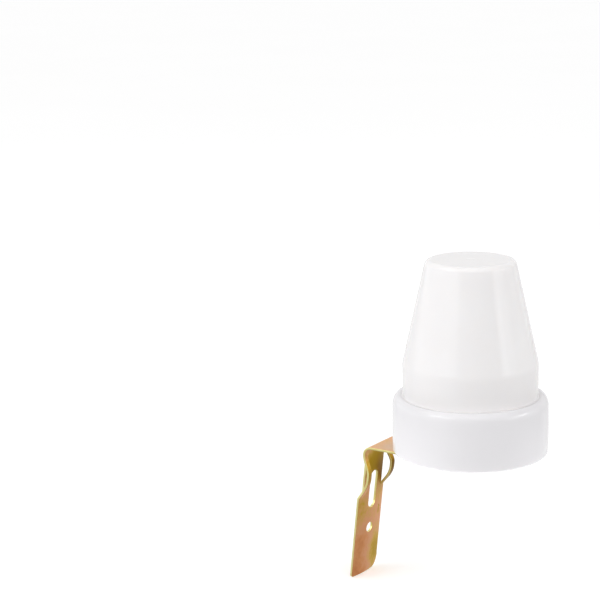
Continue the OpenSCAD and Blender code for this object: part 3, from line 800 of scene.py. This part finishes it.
SLOT_TONES = {
    "screw_steel": ((0.5, 0.5, 0.52), (0.68, 0.68, 0.7), 600, (0.25, 0.4), 1.0),
    "grommet_rubber": ((0.02, 0.02, 0.022), (0.035, 0.035, 0.036), 500, (0.6, 0.75)),
    "board_laminate": ((0.42, 0.28, 0.1), (0.5, 0.35, 0.14), 300, (0.4, 0.55)),
    "relay_case": ((0.012, 0.05, 0.24), (0.018, 0.065, 0.29), 200, (0.25, 0.35)),
    "film_capacitor": ((0.62, 0.42, 0.03), (0.72, 0.5, 0.05), 200, (0.3, 0.4)),
    "can_sleeve": ((0.006, 0.008, 0.018), (0.012, 0.015, 0.03), 200, (0.2, 0.3)),
    "varistor_coat": ((0.01, 0.07, 0.25), (0.02, 0.1, 0.32), 400, (0.25, 0.4)),
    "power_resistor_coat": ((0.17, 0.33, 0.38), (0.22, 0.4, 0.44), 500, (0.5, 0.65)),
    "resistor_coat": ((0.55, 0.42, 0.2), (0.65, 0.5, 0.26), 500, (0.3, 0.45)),
    "black_epoxy": ((0.01, 0.01, 0.01), (0.02, 0.02, 0.02), 500, (0.4, 0.55)),
    "diode_glass": ((0.4, 0.1, 0.02), (0.5, 0.15, 0.03), 500, (0.05, 0.12)),
    "sensor_face": ((0.5, 0.16, 0.06), (0.68, 0.3, 0.14), 900, (0.15, 0.3)),
    "sleeve_plastic": ((0.75, 0.7, 0.6), (0.83, 0.79, 0.7), 400, (0.45, 0.6)),
}
FINISHES = {slot: speckled(slot, *tones) for slot, tones in SLOT_TONES.items()}
for row in frame["record"]["subparts"]:
    finish_made = FINISHES.get(row["material_slot"])
    if finish_made:
        slots = frame["nodes"][row["node"]].data.materials
        slots.clear()
        slots.append(finish_made)
print("finishes for the carried-over nodes:", len(FINISHES))

# %% [markdown]
# ## Screw and grommet
# Below the base a screw with a cross recess holds the bracket's arm, and a rubber grommet lines
# the hole for the leads. Both are turned. The screw's section stops short of the axis, so its
# head is left open in the middle. A flat fill with a cross in it closes that opening, and an
# inset with a depth sinks the cross, with walls that lean as those of a driver's recess do.

# %% Model the screw and the grommet
SHANK_D = 4.0
HEAD_D = 8.0
HEAD_CROWN, HEAD_HOLD, HEAD_EDGE, TIP_EDGE = 1.2, 0.2, 0.1, 0.3
RECESS_LEN, RECESS_W, RECESS_DEEP, RECESS_LEAN = 4.0, 0.9, 1.1, 0.12
OUTLET_R = 3.6
BORE_FILLET, FLANGE_FILLET, SEAT_FILLET = 0.5, 0.7, 0.2
GROMMET_LOW, GROMMET_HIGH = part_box("wire_grommet")


def cross_outline(length, width):
    """Twelve corners of a cross."""
    long, short = length / 2, width / 2
    arm = [(long, -short), (long, short), (short, short)]
    turns = [(1, 0), (0, 1), (-1, 0), (0, -1)]
    return [(x * c - y * s, x * s + y * c) for c, s in turns for x, y in arm]


def screw():
    """A pan head screw from below: turned shank and head, with a sunk cross."""
    low, high = SCREW_LOW.z / MM, SCREW_HIGH.z / MM
    under_arm = ARM_TOP - SHEET
    flat = HEAD_D / 2 - HEAD_CROWN - HEAD_HOLD
    section = [(flat, low, 0), (HEAD_D / 2, low, HEAD_CROWN), (HEAD_D / 2, under_arm, HEAD_EDGE),
               (SHANK_D / 2, under_arm, 0), (SHANK_D / 2, high, TIP_EDGE), (0, high, 0)]
    bm = bmesh.new()
    rounded_wire(bm, section, closed=False)
    spin_wire(bm)
    opening = [e for e in bm.edges if e.is_boundary]
    corners = [bm.verts.new(Vector((x, y, low)) * MM)
               for x, y in cross_outline(RECESS_LEN, RECESS_W)]
    cross = [bm.edges.new(pair) for pair in zip(corners, corners[1:] + corners[:1])]
    bmesh.ops.triangle_fill(bm, use_beauty=True, use_dissolve=False, edges=opening + cross)
    sunk = bmesh.ops.triangle_fill(bm, use_beauty=True, use_dissolve=False, edges=cross)
    bmesh.ops.recalc_face_normals(bm, faces=bm.faces)
    faces = [f for f in sunk["geom"] if isinstance(f, bmesh.types.BMFace)]
    bmesh.ops.inset_region(bm, faces=faces, thickness=RECESS_LEAN * MM,
                           depth=-RECESS_DEEP * MM)
    bmesh.ops.translate(bm, verts=bm.verts, vec=(-SCREW_X * MM, 0, 0))
    return keep_piece("pan_head_screw", bm, [FINISHES["screw_steel"]], "screw_steel",
                      "bracket_screw")


def grommet():
    """A rubber ring with two flanges, one on each face of the floor."""
    low, high = GROMMET_LOW.z / MM, GROMMET_HIGH.z / MM
    flange, neck = GROMMET_HIGH.x / MM, OUTLET_HOLE_R - FIT
    section = [
        (OUTLET_R, low, BORE_FILLET), (flange, low, FLANGE_FILLET), (flange, 0, SEAT_FILLET),
        (neck, 0, 0), (neck, FLOOR, 0), (flange, FLOOR, SEAT_FILLET),
        (flange, high, FLANGE_FILLET), (OUTLET_R, high, BORE_FILLET)]
    bm = bmesh.new()
    rounded_wire(bm, section, closed=True)
    spin_wire(bm)
    return keep_piece("lead_grommet", bm, [FINISHES["grommet_rubber"]], "grommet_rubber",
                      "wire_grommet")


screw()
grommet()

# %% [markdown]
# ## Table
# The object is shown in a white studio. Its floor could be a curved sweep of paper, but a wide
# flat table that glows a little gives the same even white with one grid. It takes no part in
# reflections and stops no light, so that the sky alone sets the tones on the plastic.

# %% Make the table
FLOOR_GAP = 0.3 * MM
FLOOR_Z = STRIP_LOW.z - FLOOR_GAP
FLOOR_HALF = 20
FLOOR_GLOW = 0.29
FLOOR_TONES = [(NOISE_LOW, (0.85,) * 3), (NOISE_HIGH, (0.86,) * 3)]


def studio_floor():
    """A wide lit table under the bracket's foot."""
    bm = bmesh.new()
    bmesh.ops.create_grid(bm, x_segments=2, y_segments=2, size=FLOOR_HALF,
                          matrix=Matrix.Translation((0, 0, FLOOR_Z)))
    mesh = bpy.data.meshes.new("studio_floor")
    bm.to_mesh(mesh)
    bm.free()
    floor = bpy.data.objects.new("studio_floor", mesh)
    scene.collection.objects.link(floor)
    material, tree, shader, place = finish(
        "studio_white", Roughness=0.9, Specular_IOR_Level=0.0,
        Emission_Color=(1, 1, 1, 1), Emission_Strength=FLOOR_GLOW)
    tone = ramp(tree, noise(tree, place, 3), FLOOR_TONES)
    tree.links.new(tone, shader.inputs["Base Color"])
    mesh.materials.append(material)
    floor.visible_diffuse = False
    floor.visible_glossy = False
    floor.visible_transmission = False
    floor.visible_shadow = False
    return floor


studio_floor()
print("table at", round(FLOOR_Z / MM, 2), "mm")

# %% [markdown]
# ## Sky
# Painted highlights would slide when the camera moves, so every tone on the plastic comes from
# light. A picture of a studio could wrap the scene, but a few blended tones are easier to correct:
# a bright backdrop, paler sides, and a dim room on the camera's side whose tone changes with
# height.

# %% Blend the sky
BACK_TONE = 0.88
SIDE_TONE = 0.525
FRONT_TONES = [(-1, 0.5), (-0.38, 0.28), (-0.2, 0.925), (0.05, 0.71), (0.3, 0.96), (1, 1.65)]
SIDES_FROM, SIDES_TO = -0.85, -0.4
ROOM_FROM, ROOM_TO = -0.2, 0.8
LEFT_SLOPE = 0.06


def around(turn, height, distance):
    """A point round the dome's middle, in degrees right of the camera and above level."""
    turn = CAMERA_AZIMUTH + math.radians(turn)
    height = math.radians(height)
    level = math.cos(height)
    side = Vector((math.sin(turn) * level, -math.cos(turn) * level, math.sin(height)))
    return DOME_MIDDLE + side * distance


def toward(tree, direction, aim):
    """How far a direction points along an aim."""
    made = add(tree, "ShaderNodeVectorMath", {"operation": "DOT_PRODUCT"})
    made.inputs[1].default_value = aim
    tree.links.new(direction, made.inputs[0])
    return made.outputs["Value"]


def blend(tree, factor, low, high, a, b):
    """A mix from one tone or colour to another while a factor goes from low to high."""
    part = add(tree, "ShaderNodeMapRange", From_Min=low, From_Max=high)
    tree.links.new(factor, part.inputs["Value"])
    made = add(tree, "ShaderNodeMix", {"data_type": "RGBA"})
    tree.links.new(part.outputs["Result"], made.inputs["Factor"])
    for socket, value in ((made.inputs["A"], a), (made.inputs["B"], b)):
        if isinstance(value, float):
            socket.default_value = (value, value, value, 1)
        else:
            tree.links.new(value, socket)
    return made.outputs["Result"]


def sky():
    """A white backdrop, paler sides and a dim room on the camera's side over a bright table."""
    world = bpy.data.worlds.new("studio_sky")
    world.use_nodes = True
    tree = world.node_tree
    back = tree.nodes["Background"]
    direction = tree.nodes.new("ShaderNodeTexCoord").outputs["Generated"]
    up = combine(tree, "ADD", toward(tree, direction, (0, 0, 1)), 1)
    room = ramp(tree, combine(tree, "MULTIPLY", up, 0.5),
                [((z + 1) / 2, (tone,) * 3) for z, tone in FRONT_TONES])
    front = toward(tree, direction, around(0, 0, 1) - DOME_MIDDLE)
    tone = blend(tree, front, SIDES_FROM, SIDES_TO, BACK_TONE, SIDE_TONE)
    tone = blend(tree, front, ROOM_FROM, ROOM_TO, tone, room)
    tree.links.new(tone, back.inputs["Color"])
    slope = toward(tree, direction, (around(-90, 0, 1) - DOME_MIDDLE) * LEFT_SLOPE)
    tree.links.new(combine(tree, "ADD", slope, 1), back.inputs["Strength"])
    scene.world = world


sky()
print("sky:", scene.world.name)

# %% [markdown]
# ## Lights
# Soft boxes to the left and right give the dome its two upright highlights, and narrow streaks,
# which only reflections see, draw the lines on the rim. Two glows stand for the light that the
# table sends up. A lamp is usually set by its power, but here each is set by how bright it looks,
# so that its size can change without changing the highlight.

# %% Set the lights
WHITE, COOL = (1.0, 1.0, 1.0), (0.955, 0.985, 1.0)


def soft_box(name, place, width, height, brightness, colour=WHITE):
    """A rectangular soft light turned to the dome, as bright to look at as asked."""
    data = bpy.data.lights.new(name, "AREA")
    data.color = colour
    data.shape = "RECTANGLE"
    data.size, data.size_y = width, height
    data.energy = brightness * math.pi * width * height
    light = bpy.data.objects.new(name, data)
    light.location = place
    light.rotation_euler = (DOME_MIDDLE - place).to_track_quat("-Z", "Y").to_euler()
    scene.collection.objects.link(light)
    return light


GLOW_OUT, GLOW_SIZE = 0.05, 0.08


def table_glow(name, turn, brightness):
    """Light that a patch of the bright table sends up to the white plastic."""
    place = around(turn, 0, GLOW_OUT)
    place.z = FLOOR_Z + MM
    light = soft_box(name, place, GLOW_SIZE, GLOW_SIZE, brightness)
    light.rotation_euler = (math.pi, 0, CAMERA_AZIMUTH + math.radians(turn))
    light.visible_camera = False
    light.visible_glossy = False


def streak(name, place, width, height, brightness):
    """A strip that only shows as a reflection, like the bright edge of a soft box."""
    light = soft_box(name, place, width, height, brightness)
    light.visible_camera = False
    light.visible_diffuse = False


# Degrees right of the camera, degrees up, distance, width, height, brightness and perhaps colour
SOFT_BOXES = {
    "left_box": (-81, 11, 0.7, 2.1, 0.28, 0.74, COOL),
    "left_strip": (-41, 11, 0.7, 0.36, 0.28, 0.27),
    "right_strip": (69, 11, 0.7, 0.38, 0.28, 1.2, COOL),
    "right_fill": (100, 11, 0.7, 0.4, 0.4, 0.7),
    "back_fill": (130, 11, 0.7, 0.4, 0.4, 0.29),
    "high_front": (0, 48, 0.8, 0.5, 0.3, 0.2),
    "high_left": (-75, 50, 0.8, 0.5, 0.5, 0.98),
}
STREAKS = {
    "left_streak": (-48, 32, 0.8, 0.43, 0.1, 6.0),
    "right_streak": (63, 10, 0.7, 0.06, 0.28, 0.7),
    "right_shoulder": (81, 16, 0.7, 0.3, 0.06, 6.0),
}
TABLE_GLOWS = {"left_glow": (-60, 2.7), "right_glow": (80, 2.42)}
for name, (turn, height, distance, *look) in SOFT_BOXES.items():
    soft_box(name, around(turn, height, distance), *look)
for name, (turn, height, distance, *look) in STREAKS.items():
    streak(name, around(turn, height, distance), *look)
for name, (turn, brightness) in TABLE_GLOWS.items():
    table_glow(name, turn, brightness)
scene.view_settings.view_transform = "Standard"
